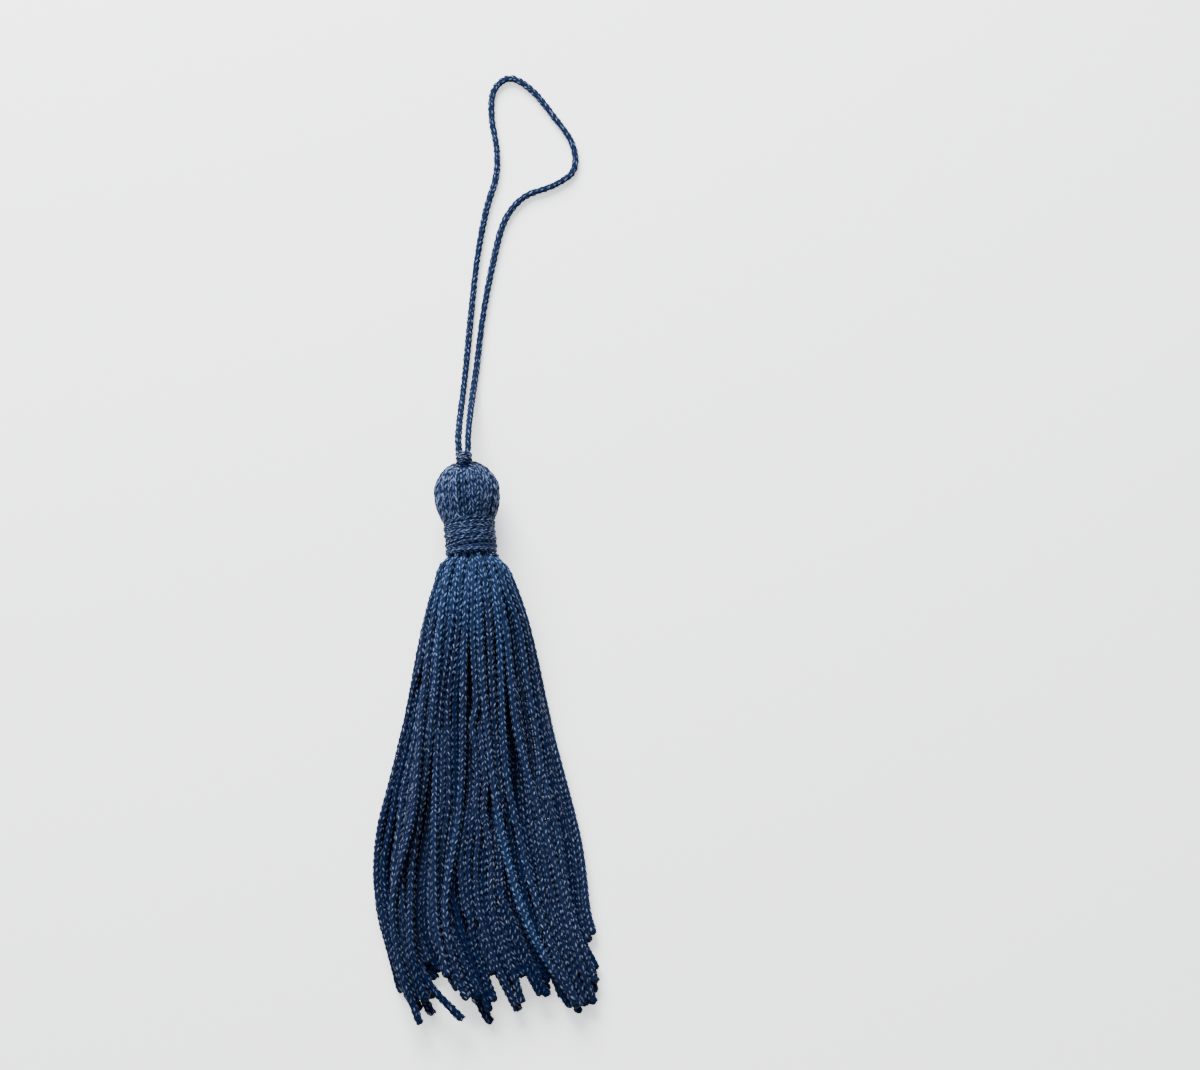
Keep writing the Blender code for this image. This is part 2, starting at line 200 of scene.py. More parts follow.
def dyed_yarn(name, shaded, dull, bright, roughness):
    """Navy polyester chainette: silky filaments, with painted shade where the stitches dip and
    painted highlights on their tops.
    """
    material = bpy.data.materials.new(name)
    material.use_nodes = True
    tree = material.node_tree
    shader = tree.nodes["Principled BSDF"]

    def output(kind, settings=(), socket=0, **inputs):
        return Shade(tree, shade_node(tree, kind, settings, **inputs).outputs[socket])

    proud = output("ShaderNodeAttribute", {"attribute_name": "proud"}, "Fac")
    tone = output("ShaderNodeAttribute", {"attribute_name": "tone"}, "Fac")
    place = output("ShaderNodeTexCoord", socket="Object")
    leg_map = output("ShaderNodeUVMap", {"uv_map": "leg"})
    drawn = output("ShaderNodeMapping", {"vector_type": "POINT"}, n0=leg_map, Scale=FILAMENTS)
    filaments = output("ShaderNodeTexNoise", socket="Fac", Vector=drawn, Scale=1.0, Detail=2.0)
    mottle = output("ShaderNodeTexNoise", socket="Fac", Vector=place, Scale=MOTTLE, Detail=0.0)
    sparks = output("ShaderNodeTexNoise", socket="Fac", Vector=place, Scale=SPARKS, Detail=0.0)
    patches = output("ShaderNodeTexNoise", socket="Fac", Vector=place, Scale=PATCHES, Detail=1.0)
    # Painted highlights: the tops of the stitches are coloured lighter, in a mottle of painted glints
    # with sparks along the filaments, and the dips take the shaded colour, painted shade.
    raised = (proud * 2.2 - 1.2).clamped()
    glint_mottle = (mottle * 4.0 - 1.5).clamped()
    spark = (sparks * 6.0 - 3.6).clamped()
    shine = glint_mottle * 0.66 + filaments * 0.16 + spark * 0.95
    light = raised * raised * (shine + 0.12) * (patches * 0.9 + 0.62 + tone * 0.28)
    light = (light + 0.02 + tone * 0.012).clamped()
    # A higher tone is lighter and bluer. The tone holds real wear and random differences between
    # yarns, and also painted light and painted shade set in the pieces below.
    wear_and_light = (tone * 0.23 + 0.35).clamped()
    blend = {"data_type": "RGBA"}
    lit = output("ShaderNodeMix", blend, 2, n0=wear_and_light, n6=dull, n7=bright)
    colour = output("ShaderNodeMix", blend, 2, n0=light, n6=shaded, n7=lit)
    tree.links.new(colour.socket, shader.inputs["Base Color"])
    glint = (roughness + 0.68 - 0.52 * proud - 0.32 * filaments).clamped()
    tree.links.new(glint.socket, shader.inputs["Roughness"])
    bump = shade_node(tree, "ShaderNodeBump", Strength=0.5, Distance=0.04 * MM, Height=filaments)
    tree.links.new(bump.outputs["Normal"], shader.inputs["Normal"])
    shader.inputs["Specular IOR Level"].default_value = 0.14
    shader.inputs["Specular Tint"].default_value = (0.42, 0.60, 1.0, 1.0)
    return material


# The shaded navy is painted shade, the colour of the dips and the core; the two lit colours carry the
# painted highlights.
NAVY_SHADED = (0.0, 0.0036, 0.0215, 1.0)
NAVY_LIT_DULL = (0.205, 0.220, 0.290, 1.0)
NAVY_LIT_BRIGHT = (0.088, 0.150, 0.305, 1.0)
cord_yarn = dyed_yarn("cord_yarn", NAVY_SHADED, NAVY_LIT_DULL, NAVY_LIT_BRIGHT, 0.42)


def select_only(ob):
    """Select one object and no other, and make it active."""
    bpy.ops.object.select_all(action="DESELECT")
    ob.select_set(True)
    bpy.context.view_layer.objects.active = ob


def map_of(mesh, name):
    """A mesh's map as an array with one row a corner."""
    corners = np.empty(len(mesh.loops) * 2)
    mesh.uv_layers[name].data.foreach_get("uv", corners)
    return corners.reshape(-1, 2)


# How uneven the stitch legs are: round the tube, in their lean, their height, their place
# along it and their size.
UNEVEN_ROUND = 0.09
UNEVEN_LEAN = math.radians(12.0)
UNEVEN_HEIGHT = 0.02 * MM
UNEVEN_ALONG = 0.2
UNEVEN_SIZE = 0.2
# How deep the core lies below the legs, in leg depths, and how far the legs of a pair stand
# apart along the tube, in courses.
CORE_DEPTH = 0.31
PAIR_SHIFT = 0.15


def knit_course(name, diameter, course, leg_length, leg_width, slant=LEG_SLANT, seed=0):
    """Three rounds of the knitted tube, along +X: plump uneven stitch legs on a core coloured in
    painted shade.
    """
    uneven = np.random.default_rng(seed)
    radius = diameter / 2
    thick = LEG_DEPTH * diameter / YARN
    bpy.ops.object.select_all(action="DESELECT")
    bpy.ops.mesh.primitive_cylinder_add(
        vertices=LEGS,
        radius=radius - thick * CORE_DEPTH,
        depth=course,
        end_fill_type="NOTHING",
        location=(course / 2, 0.0, 0.0),
        rotation=(0.0, math.pi / 2, 0.0),
    )
    piece = bpy.context.object
    piece.name = name
    bpy.ops.object.transform_apply(location=True, rotation=True, scale=True)
    bpy.ops.object.mode_set(mode="EDIT")
    for _ in range(ROUNDS - 1):
        bpy.ops.mesh.duplicate()
        bpy.ops.transform.translate(value=(course, 0.0, 0.0))
    for number in range(ROUNDS * LEGS):
        turn, leg = divmod(number, LEGS)
        side = 1 if leg % 2 else -1
        around = math.tau * (leg + 0.5 + UNEVEN_ROUND * uneven.uniform(-1, 1)) / LEGS
        turned = side * slant + UNEVEN_LEAN * uneven.uniform(-1, 1)
        lean = Matrix.Rotation(around, 4, "X") @ Matrix.Rotation(turned, 4, "Z")
        lift = radius - thick / 2 + UNEVEN_HEIGHT * uneven.uniform(-1, 1)
        # The yarn is knitted in a spiral, so each column stands a little further on.
        forward = turn + 0.5 + (leg // 2) / WALES + PAIR_SHIFT * side
        forward += UNEVEN_ALONG * uneven.uniform(-1, 1)
        size = 1.0 + UNEVEN_SIZE * uneven.uniform(-1, 1)
        bpy.ops.mesh.primitive_uv_sphere_add(
            segments=4,
            ring_count=4,
            radius=1.0,
            location=Matrix.Rotation(around, 3, "X") @ Vector((course * forward, 0.0, lift)),
            rotation=(lean @ Matrix.Rotation(math.pi / 2, 4, "Y")).to_euler(),
            scale=(thick / 2, size * leg_width / 2, size * leg_length / 2),
        )
    bpy.ops.object.mode_set(mode="OBJECT")
    bpy.ops.object.shade_smooth()
    mesh = piece.data
    mesh.uv_layers[0].name = "leg"
    places = np.empty(len(mesh.vertices) * 3)
    mesh.vertices.foreach_get("co", places)
    places = places.reshape(-1, 3)
    # How far each point stands out: the material paints shade where it is low, and the core, set to
    # nothing, is all painted shade.
    low, high = radius - thick, radius
    proud = np.clip((np.hypot(places[:, 1], places[:, 2]) - low) / (high - low), 0, 1)
    core_points = ROUNDS * LEGS * 2
    proud[:core_points] = 0.0
    mesh.attributes.new("proud", "FLOAT", "POINT").data.foreach_set("value", proud)
    # On the second map each leg has a cell of its own, and the core the last column.
    corners = map_of(mesh, "leg")
    core_corners = ROUNDS * LEGS * 4
    corners[:core_corners, 1] = corners[:core_corners, 1] * 2 - 1
    in_leg = (len(corners) - core_corners) // (ROUNDS * LEGS)
    cells = np.repeat(np.arange(ROUNDS * LEGS), in_leg)
    column = np.concatenate([np.full(core_corners, LEGS), cells % LEGS])
    core_rows = np.repeat(np.arange(ROUNDS), core_corners // ROUNDS)
    row = np.concatenate([core_rows, cells // LEGS])
    corners[:, 0] = (column + 0.05 + 0.9 * corners[:, 0]) / (LEGS + 1)
    corners[:, 1] = (row + corners[:, 1]) / ROUNDS
    mesh.uv_layers.new(name="OFBake").data.foreach_set("uv", corners.ravel())
    piece.hide_render = True
    return piece


CURVE_STEPS = 16


def smooth_route(waypoints, count):
    """Points evenly spaced along a smooth curve through the waypoints."""
    points = [Vector(p) for p in waypoints]
    points = [2 * points[0] - points[1], *points, 2 * points[-1] - points[-2]]
    dense = []
    for a, b, c, d in zip(points, points[1:], points[2:], points[3:]):
        for step in range(CURVE_STEPS):
            t = step / CURVE_STEPS
            dense.append(
                0.5
                * (
                    2 * b
                    + (c - a) * t
                    + (2 * a - 5 * b + 4 * c - d) * t**2
                    + (3 * b - a - 3 * c + d) * t**3
                )
            )
    dense = np.array([*dense, points[-2]])
    along_it = np.concatenate([[0], np.cumsum(np.linalg.norm(np.diff(dense, axis=0), axis=1))])
    even = np.linspace(0, along_it[-1], count)
    return np.stack([np.interp(even, along_it, dense[:, axis]) for axis in range(3)], axis=1)


# Pulled about, a yarn's courses stand closer here and wider there.
DRAWN_WAVES = (
    # reach, length in mm, shift
    (0.28 * MM, 2.7, 1.0),
    (0.45 * MM, 7.3, 2.6),
)


def knit_along(
    name,
    course_piece,
    pitch,
    route,
    widths,
    tilt=0.0,
    tone=0.0,
    tip=None,
    spin=0.0,
    share=(0, 1),
    drawn=0.0,
):
    """Knit a yarn along a route: repeat the courses, then bend the straight yarn."""
    length = float(np.linalg.norm(np.diff(route, axis=0), axis=1).sum())
    count = max(1, round(length / (ROUNDS * pitch)))
    curve = bpy.data.curves.new(name + "_route", "CURVE")
    curve.dimensions = "3D"
    curve.twist_mode = "MINIMUM"
    spline = curve.splines.new("POLY")
    spline.points.add(len(route) - 1)
    for number, (point, place, width) in enumerate(zip(spline.points, route, widths)):
        point.co = (*place, 1.0)
        point.radius = width
        point.tilt = tilt + spin * number / len(route)
    guide = bpy.data.objects.new(name + "_route", curve)
    bpy.context.scene.collection.objects.link(guide)
    yarn = course_piece.copy()
    yarn.data = course_piece.data.copy()
    yarn.name = name
    yarn.hide_render = False
    bpy.context.scene.collection.objects.link(yarn)
    select_only(yarn)
    array = yarn.modifiers.new("courses", "ARRAY")
    array.count = count
    array.use_relative_offset = False
    array.use_constant_offset = True
    array.constant_offset_displace = (length / count, 0.0, 0.0)
    array.use_merge_vertices = True
    array.merge_threshold = 1e-6
    if tip:
        array.end_cap = tip
    bpy.ops.object.modifier_apply(modifier="courses")
    # The yarn takes its own column of the second map, from its start to its end.
    corners = map_of(yarn.data, "OFBake")
    courses = corners[: count * len(course_piece.data.loops)].reshape(count, -1, 2)
    courses[..., 1] += np.arange(count)[:, None]
    corners[courses[..., 0].size :, 1] += count
    corners[:, 0] = (share[0] + corners[:, 0]) / share[1]
    corners[:, 1] /= count + 1
    yarn.data.uv_layers["OFBake"].data.foreach_set("uv", corners.ravel())
    places = np.empty(len(yarn.data.vertices) * 3)
    yarn.data.vertices.foreach_get("co", places)
    shares = np.linspace(0, 1, np.size(tone))
    yarn.data.attributes.new("tone", "FLOAT", "POINT").data.foreach_set(
        "value", np.interp(places[::3] / length, shares, np.atleast_1d(tone))
    )
    if drawn:
        before = places[::3] / MM
        for wave_reach, wave_length, shift in DRAWN_WAVES:
            places[::3] += wave_reach * np.sin(before / wave_length + shift * drawn)
        yarn.data.vertices.foreach_set("co", places)
    bend = yarn.modifiers.new("route", "CURVE")
    bend.object = guide
    bend.deform_axis = "POS_X"
    bpy.ops.object.modifier_apply(modifier="route")
    bpy.data.objects.remove(guide, do_unlink=True)
    return yarn


# The route from the knot and back to it, in millimetres, and its two ends in the knot.
LOOP_ROUTE = (
    # right, up, height
    (-1.75, 14.7, 4.75),
    (-2.14, 16.7, 4.72),
    (-2.18, 18.6, 4.45),
    (-2.0, 22.0, 2.9),
    (-1.7, 25.5, 1.3),
    (-1.3, 30.0, 0.64),
    (-0.6, 38.0, 0.63),
    (0.3, 47.0, 0.63),
    (1.6, 54.5, 0.63),
    (3.0, 59.5, 0.63),
    (3.1, 64.0, 0.63),
    (2.3, 69.0, 0.63),
    (2.6, 73.2, 0.63),
    (5.0, 75.2, 0.63),
    (8.3, 73.3, 0.63),
    (11.6, 69.2, 0.63),
    (14.5, 64.8, 0.63),
    (14.7, 60.6, 0.63),
    (11.6, 58.2, 0.63),
    (7.2, 56.4, 0.63),
    (4.3, 52.6, 0.63),
    (2.6, 46.0, 0.63),
    (1.2, 38.0, 0.63),
    (0.3, 30.0, 0.64),
    (-0.25, 25.5, 1.3),
    (-0.55, 22.0, 2.9),
    (-0.75, 18.6, 4.45),
    (-0.74, 16.7, 4.72),
    (-0.95, 14.7, 4.75),
)
CORD_COURSE = 0.96 * MM
CORD_WIDTH = 0.90
CORD_POINTS = 130

full_course = knit_course("full_course", YARN, COURSE, LEG_LENGTH, LEG_WIDTH)
loop_points = smooth_route(np.array(LOOP_ROUTE) * MM, CORD_POINTS) + np.array(home)
hanging_cord = knit_along(
    "hanging_cord",
    full_course,
    CORD_COURSE,
    loop_points,
    np.full(len(loop_points), CORD_WIDTH),
    tone=1.5,
    spin=7.0,
)
hanging_cord.data.materials.append(cord_yarn)
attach(hanging_cord, "root")
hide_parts("hanging_loop")

# ------------------------------------------------------------------ the knot
# The loop is closed by a small tight knot of the same chainette, which sits in the dimple
# of the crown. It shows as wraps round both legs.

CROWN = 14.85 * MM
KNOT_TURNS = 3.6
KNOT_STEPS = 60
KNOT_YARN = 0.84 * MM
KNOT_COURSE = 0.8 * MM
KNOT_RADIUS = 0.93 * MM
KNOT_LENGTH = 2.45 * MM
KNOT_SUNK = 1.30 * MM
KNOT_WOBBLE = 0.06 * MM


def round_axis(around, radius, height):
    """A point round the head's axis, which lies along the floor."""
    across = Vector((along.y, -along.x, 0.0))
    up = Vector((0.0, 0.0, 1.0))
    middle = home + along * height + up * AXIS_HEIGHT
    return middle + across * (radius * math.cos(around)) + up * (radius * math.sin(around))


knot_course = knit_course(
    "knot_course", KNOT_YARN, KNOT_COURSE, leg_length=0.95 * MM, leg_width=0.3 * MM
)
knot_route = []
for step in range(KNOT_STEPS + 1):
    share = step / KNOT_STEPS
    turn = share * KNOT_TURNS * math.tau
    radius = KNOT_RADIUS + KNOT_WOBBLE * math.sin(2 * turn)
    height = CROWN + KNOT_LENGTH * share - KNOT_SUNK
    knot_route.append(round_axis(turn + 0.4, radius, height))
# Its lowest turns, down in the dimple, get a very low tone: painted shade.
knot = knit_along(
    "crown_knot",
    knot_course,
    KNOT_COURSE,
    np.array(knot_route),
    np.ones(len(knot_route)),
    tone=(-5.0, -5.0, -4.0, 0.0, 0.5, 0.5, 0.5, 0.5),
)
knot.data.materials.append(cord_yarn)
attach(knot, "root")
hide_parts("loop_knot")

# ------------------------------------------------------------------ the ball head
# The skirt's yarns are folded over the hanging cord and pulled down into a round head.
# Each shows as one knitted column that runs from the crown's dimple into the binding.

HEAD_YARNS = 27
HEAD_YARN = 1.12 * MM
HEAD_RADIUS = 4.92 * MM
HEAD_DROP = 4.1 * MM
CROWN_RISE = 4.85 * MM
# Under its widest place the ball narrows as an ellipse would whose half length is this many
# times the drop to the neck.
HEAD_TAPER = 1.63
# On the face the dimple opens, so the yarns turn over lower there.
DIMPLE_OPENING = 1.5 * MM
# No yarn of the head lies lower than this.
HEAD_LOWEST = 0.52 * MM

fringe_yarn = dyed_yarn("fringe_yarn", NAVY_SHADED, NAVY_LIT_DULL, NAVY_LIT_BRIGHT, 0.42)
chance = np.random.default_rng(11)


def head_meridian(dive):
    """Radii and heights of a yarn's middle, from the dimple over the ball to the neck."""
    widest = NECK_HEIGHT + HEAD_DROP
    inset = HEAD_YARN / 2
    meridian = [(0.95 * MM, 13.2 * MM), (1.3 * MM, 14.15 * MM)]
    for degrees in (63, 54, 44, 34, 24, 14, 4):
        angle = math.radians(degrees)
        radius = (HEAD_RADIUS - inset) * math.cos(angle)
        height = widest + (CROWN_RISE - inset) * math.sin(angle)
        meridian.append((radius, height))
    for share in (0.25, 0.5, 0.75, 0.95):
        drop = HEAD_DROP * share
        radius = HEAD_RADIUS * math.sqrt(1 - (share / HEAD_TAPER) ** 2) - inset
        meridian.append((radius, widest - drop))
    meridian += [(3.1 * MM, 5.4 * MM), (2.9 * MM, 4.4 * MM)]
    return [(r - dive * max(0.0, (h - 11 * MM) / (4 * MM)), h) for r, h in meridian]


HEAD_SLANT = math.radians(14.0)
HEAD_COURSE = 0.88 * MM
head_courses = [
    knit_course(
        f"head_course_{seed}",
        HEAD_YARN,
        HEAD_COURSE,
        leg_length=0.98 * MM,
        leg_width=0.35 * MM,
        slant=slant,
        seed=seed,
    )
    for seed, slant in enumerate((HEAD_SLANT, HEAD_SLANT, -HEAD_SLANT))
]
head_yarns = []
for number in range(HEAD_YARNS):
    sector = math.tau * (number + chance.uniform(-0.16, 0.16)) / HEAD_YARNS
    twist = math.radians(chance.uniform(4, 13))
    dive = (0.35 * MM if number % 2 else 0.0) + chance.uniform(-0.08, 0.08) * MM
    meridian = head_meridian(dive)
    route = []
    meridian[0] = (meridian[0][0], meridian[0][1] - chance.uniform(0, 0.9) * MM)
    for step, (radius, height) in enumerate(meridian):
        around = sector + twist * (step / len(meridian) - 0.5)
        facing = max(0.0, math.sin(around)) ** 3
        near_dimple = float(np.interp(step, (1, 2, 5), (1.2, 1.0, 0.0)))
        height -= DIMPLE_OPENING * facing * near_dimple
        point = round_axis(around, radius, height)
        point.z = max(point.z, HEAD_LOWEST)
        route.append(point)
    route = smooth_route(route, 22)
    head_yarns.append(
        knit_along(
            f"head_yarn_{number}",
            head_courses[chance.integers(len(head_courses))],
            HEAD_COURSE * chance.uniform(0.92, 1.06),
            route,
            1.0 + 0.05 * chance.uniform(-1, 1, len(route)),
            tilt=chance.uniform(0, math.tau),
            # Painted shade darkens them down in the dimple, and painted light makes them lighter over
            # the ball, by a random amount for each yarn.
            tone=np.interp(np.linspace(0, 1, 12), (0.08, 0.24), (-2.5, chance.uniform(0.9, 2.1))),
            spin=chance.uniform(-0.8, 0.8),
            share=(number, HEAD_YARNS + 1),
            drawn=chance.uniform(1, 7),
        )
    )


def join_pieces(name, pieces):
    """Join like pieces into one object."""
    select_only(pieces[0])
    for piece in pieces:
        piece.select_set(True)
    bpy.ops.object.join()
    pieces[0].name = name
    return pieces[0]


# The folded yarns inside fill the ball and the foot of the dimple. A smooth core stands for them,
# coloured all in the shaded navy: painted shade that shows between the outer yarns.
bpy.ops.object.select_all(action="DESELECT")
bpy.ops.mesh.primitive_uv_sphere_add(
    segments=32,
    ring_count=20,
    radius=1.0,
    location=home + along * 9.6 * MM + Vector((0.0, 0.0, AXIS_HEIGHT)),
    rotation=(-math.pi / 2, 0.0, HEAD_LEAN),
    scale=(4.1 * MM, 4.1 * MM, 4.2 * MM),
)
ball_core = bpy.context.object
ball_core.name = "ball_core"
bpy.ops.object.mode_set(mode="EDIT")
bpy.ops.mesh.primitive_uv_sphere_add(
    segments=16,
    ring_count=10,
    radius=1.0,
    location=home + along * 13.45 * MM + Vector((0.0, 0.0, AXIS_HEIGHT - 0.2 * MM)),
    rotation=(-math.pi / 2, 0.0, HEAD_LEAN),
    scale=(1.15 * MM, 1.1 * MM, 1.3 * MM),
)
bpy.ops.object.mode_set(mode="OBJECT")
bpy.ops.object.transform_apply(location=True, rotation=True, scale=True)
bpy.ops.object.shade_smooth()
ball_core.data.uv_layers[0].name = "leg"
corners = map_of(ball_core.data, "leg")
corners[:, 0] = (HEAD_YARNS + corners[:, 0]) / (HEAD_YARNS + 1)
ball_core.data.uv_layers.new(name="OFBake").data.foreach_set("uv", corners.ravel())
# The core takes the darkest tone and no stitch tops: painted shade.
for attribute, value in (("proud", 0.0), ("tone", -6.0)):
    ball_core.data.attributes.new(attribute, "FLOAT", "POINT").data.foreach_set(
        "value", np.full(len(ball_core.data.vertices), value)
    )
ball_head = join_pieces("ball_head", [*head_yarns, ball_core])
ball_head.data.materials.clear()
ball_head.data.materials.append(fringe_yarn)
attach(ball_head, "root")
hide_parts("head_and_skirt")

# ------------------------------------------------------------------ the neck binding
# Tight turns of the same yarn bind the neck under the ball. Stretched, the yarn is thinner
# and its stitches are drawn out along the turns. The lowest turn is slack and slants.

BINDING_TURNS = 9
BINDING_STEPS = 28
BINDING_YARN = 0.79 * MM
BINDING_COURSE = 0.82 * MM
BINDING_RADIUS = 3.47 * MM
BINDING_TOP = NECK_HEIGHT - 0.35 * MM
BINDING_FALL = NECK_HEIGHT - 0.75 * MM
SLACK_SLANT = 0.30 * MM
SLACK_BULGE = 0.12 * MM

wound_yarn = dyed_yarn("wound_yarn", NAVY_SHADED, NAVY_LIT_DULL, NAVY_LIT_BRIGHT, 0.4)
binding_course = knit_course(
    "binding_course",
    BINDING_YARN,
    BINDING_COURSE,
    leg_length=0.74 * MM,
    leg_width=0.2 * MM,
    slant=math.radians(12.0),
)
winding = []
for step in range(BINDING_TURNS * BINDING_STEPS + 1):
    turn = step / BINDING_STEPS
    around = turn * math.tau + 0.6
    height = BINDING_TOP - turn / BINDING_TURNS * BINDING_FALL
    # Wound by hand, the turns waver a little.
    height += 0.11 * MM * math.sin(around + 1.3 * turn) + 0.06 * MM * math.sin(2 * around + turn)
    radius = BINDING_RADIUS + 0.07 * MM * math.sin(3.1 * turn + around)
    slack = max(0.0, turn - (BINDING_TURNS - 1))
    height -= slack * SLACK_SLANT * math.cos(around)
    radius += slack * SLACK_BULGE
    winding.append(round_axis(around, radius, height))
binding = knit_along(
    "binding",
    binding_course,
    BINDING_COURSE,
    np.array(winding),
    1.0 + 0.05 * chance.uniform(-1, 1, len(winding)),
    tone=1.6,
    spin=9.0,
)
binding.data.materials.append(wound_yarn)
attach(binding, "root")
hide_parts("neck_binding")

# ------------------------------------------------------------------ the skirt
# Seventy-two ends of navy chainette fan out from under the binding and lie on the floor.
# Their ends are cut hot, so each melts into a small dark blob and doesn't run.

STRANDS = 72
THICKNESS = 1.05 * MM
SHOULDER_LENGTH = 2.5 * MM
SHOULDER_RADIUS = 4.45 * MM
SHOULDER_THICKNESS = 0.8 * MM
ROOT_THICKNESS = 0.68 * MM
ROOT_BELOW = 1.8 * MM
FULL_BELOW = 9.0 * MM
SPACING = 1.11
WANDER = 0.7 * MM
RAGGED = 1.4 * MM
STATIONS = (2.5, 5.0, 9.0, 15.0, 21.0, 28.0, 35.0, 42.0, 49.0, 56.0, 63.0, 70.0)
STEPS_BETWEEN = 4
SETTLING_ROUNDS = 320
SINKING = 0.008 * MM

# The skirt as it lies: distance below the binding, left edge, right edge and height of the
# mound, in millimetres, and how flat it lies on the floor, from 0 (round) to 1 (flat).
SKIRT = (
    # below, left, right, height, flatness
    (2.5, -5.75, 6.15, 8.9, 0.0),
    (5.0, -6.7, 7.5, 9.0, 0.4),
    (9.0, -8.3, 8.8, 8.4, 0.8),
    (14.0, -9.2, 9.9, 7.7, 1.0),
    (20.0, -9.9, 11.1, 6.9, 1.0),
    (31.0, -12.1, 13.8, 5.5, 1.0),
    (40.0, -15.2, 16.0, 4.5, 1.0),
    (47.0, -17.0, 17.7, 4.0, 1.0),
    (55.0, -18.3, 19.0, 3.7, 1.0),
    (70.0, -19.0, 20.5, 3.4, 1.0),
)
# How far below the binding the cut ends reach, from the left edge to the right one.
ENDS = (
    # across, reach
    (-1.0, 50.0),
    (-0.8, 56.5),
    (-0.55, 62.5),
    (-0.3, 65.0),
    (0.0, 64.5),
    (0.35, 63.5),
    (0.75, 64.5),
    (1.0, 59.5),
)


def skirt_at(below):
    """The skirt's edges, height, flatness and lowest line, this far below the binding."""
    rows = np.array(SKIRT)
    left, right, height = (
        np.interp(below, rows[:, 0] * MM, rows[:, column] * MM) for column in (1, 2, 3)
    )
    flatness = np.interp(below, rows[:, 0] * MM, rows[:, 4])
    base = (1 - flatness) * (AXIS_HEIGHT - SHOULDER_RADIUS)
    return left, right, height, flatness, base


def reach_over(x, below):
    """How low and how high the skirt reaches over x."""
    left, right, height, flatness, base = skirt_at(below)
    across = (2 * x - left - right) / (right - left)
    dome = np.sqrt(np.clip(1 - across**2, 0, 1))
    low = base + height * (1 - flatness) * (1 - dome) / 2
    high = base + height * ((1 - flatness) * (1 + dome) / 2 + flatness * dome)
    return low, high


def thickness_at(below):
    """A strand is pressed thin at its root and full a little below."""
    stops = (ROOT_BELOW, SHOULDER_LENGTH, FULL_BELOW)
    return np.interp(below, stops, (ROOT_THICKNESS, SHOULDER_THICKNESS, THICKNESS))


def first_lie(stations, sideways):
    """The strands as an unsettled bundle, spread in step with the skirt's own edges."""
    number = np.arange(STRANDS)
    radius = np.sqrt((number + 0.5) / STRANDS)
    around = number * math.pi * (3 - math.sqrt(5))
    lie = []
    for station, sway in zip(stations, sideways):
        left, right, _, _, _ = skirt_at(station)
        half_width = (right - left - thickness_at(station)) / 2
        x = (left + right) / 2 + half_width * radius * np.cos(around) + sway
        low, high = reach_over(x, station)
        room = np.maximum(high - low - thickness_at(station), 0)
        chord = np.sqrt(1 - (radius * np.cos(around)) ** 2)
        up = (1 + radius * np.sin(around) / chord) / 2
        lie.append(np.stack([x, low + thickness_at(station) / 2 + room * up], axis=1))
    return np.array(lie), radius * np.cos(around)


def steps_between(count):
    """Weights that read values at the stations and at even steps between them."""
    rows = []
    for station in range(count - 1):
        for step in range(STEPS_BETWEEN):
            row = np.zeros(count)
            row[station + 1] = step / STEPS_BETWEEN
            row[station] = 1 - row[station + 1]
            rows.append(row)
    return np.array(rows)


def lay_strands():
    """Where the strands lie, as they fan out from the shoulder and settle on the floor."""
    random = np.random.default_rng(7)
    stations = np.array(STATIONS) * MM
    wave = random.uniform(36 * MM, 70 * MM, STRANDS)
    phase = random.uniform(0, math.tau, STRANDS)
    grown = np.clip((stations - stations[0]) / (25 * MM), 0, 1)[:, None]
    sideways = WANDER * grown * np.sin(math.tau * stations[:, None] / wave + phase)
    lie, across = first_lie(stations, sideways)
    reach = np.interp(across, *np.array(ENDS).T) * MM + RAGGED * random.uniform(-1, 1, STRANDS)

    weights = steps_between(len(stations))
    places = weights @ stations
    present = places[:, None] < reach + 1.5 * MM
    both = present[:, :, None] & present[:, None, :]
    spacing = np.array([thickness_at(place) for place in places])[:, None, None] * SPACING
    wanted = lie[:, :, 0].copy()
    rest = np.array([thickness_at(station) for station in stations]) * math.cos(math.pi / 4) / 2
    edges = [skirt_at(station)[:2] for station in stations]
    for turn in range(SETTLING_ROUNDS):
        loose = 1.0 if turn < SETTLING_ROUNDS * 0.7 else 0.0
        now = np.einsum("fs,snc->fnc", weights, lie)
        apart = now[:, :, None] - now[:, None]
        distance = np.hypot(apart[..., 0], apart[..., 1])
        distance[:, range(STRANDS), range(STRANDS)] = 1.0
        short = np.clip(spacing - distance, 0, None) * both
        push = (apart * (short / distance)[..., None]).sum(axis=2)
        lie += 0.3 * np.einsum("fs,fnc->snc", weights, push)
        lie[:, :, 0] += 0.03 * loose * (wanted - lie[:, :, 0])
        lie[1:-1] += 0.06 * loose * (lie[:-2] - 2 * lie[1:-1] + lie[2:])
        for row, (left, right) in enumerate(edges):
            x, z = lie[row, :, 0], lie[row, :, 1]
            side = thickness_at(stations[row]) / 2
            x[:] = np.clip(x, left + side, right - side)
            low, high = reach_over(x, stations[row])
            sinking = loose * SINKING if row > 1 else 0.0
            z -= sinking + 0.12 * loose * np.clip(z + side - high, 0, None)
            z[:] = np.maximum(z, low + rest[row])
    return stations, lie


# A yarn's middle lies higher than that of its plainer, flat-lying solid, by this much past
# the shoulder.
LIFT = 0.225 * MM
LIFT_OVER = 6.5 * MM
STRAND_YARN = 1.19 * MM
FINE_STEP = 1.5 * MM
# The lowest that a yarn's middle lies.
ON_FLOOR = 0.6 * MM
# How close the middles of two yarns come: they are pressed together at the shoulder.
ROOM = (
    # below, room
    (2.5, 0.80),
    (9.0, 0.94),
)

# The strands lie in low ridges that fan out from the neck. The ridges are told apart high
# up, and pull their strands together a little.
RIDGES = 13
RIDGES_AT = 16 * MM
RIDGE_UNEVEN = 0.25
RIDGE_PULL = 0.09
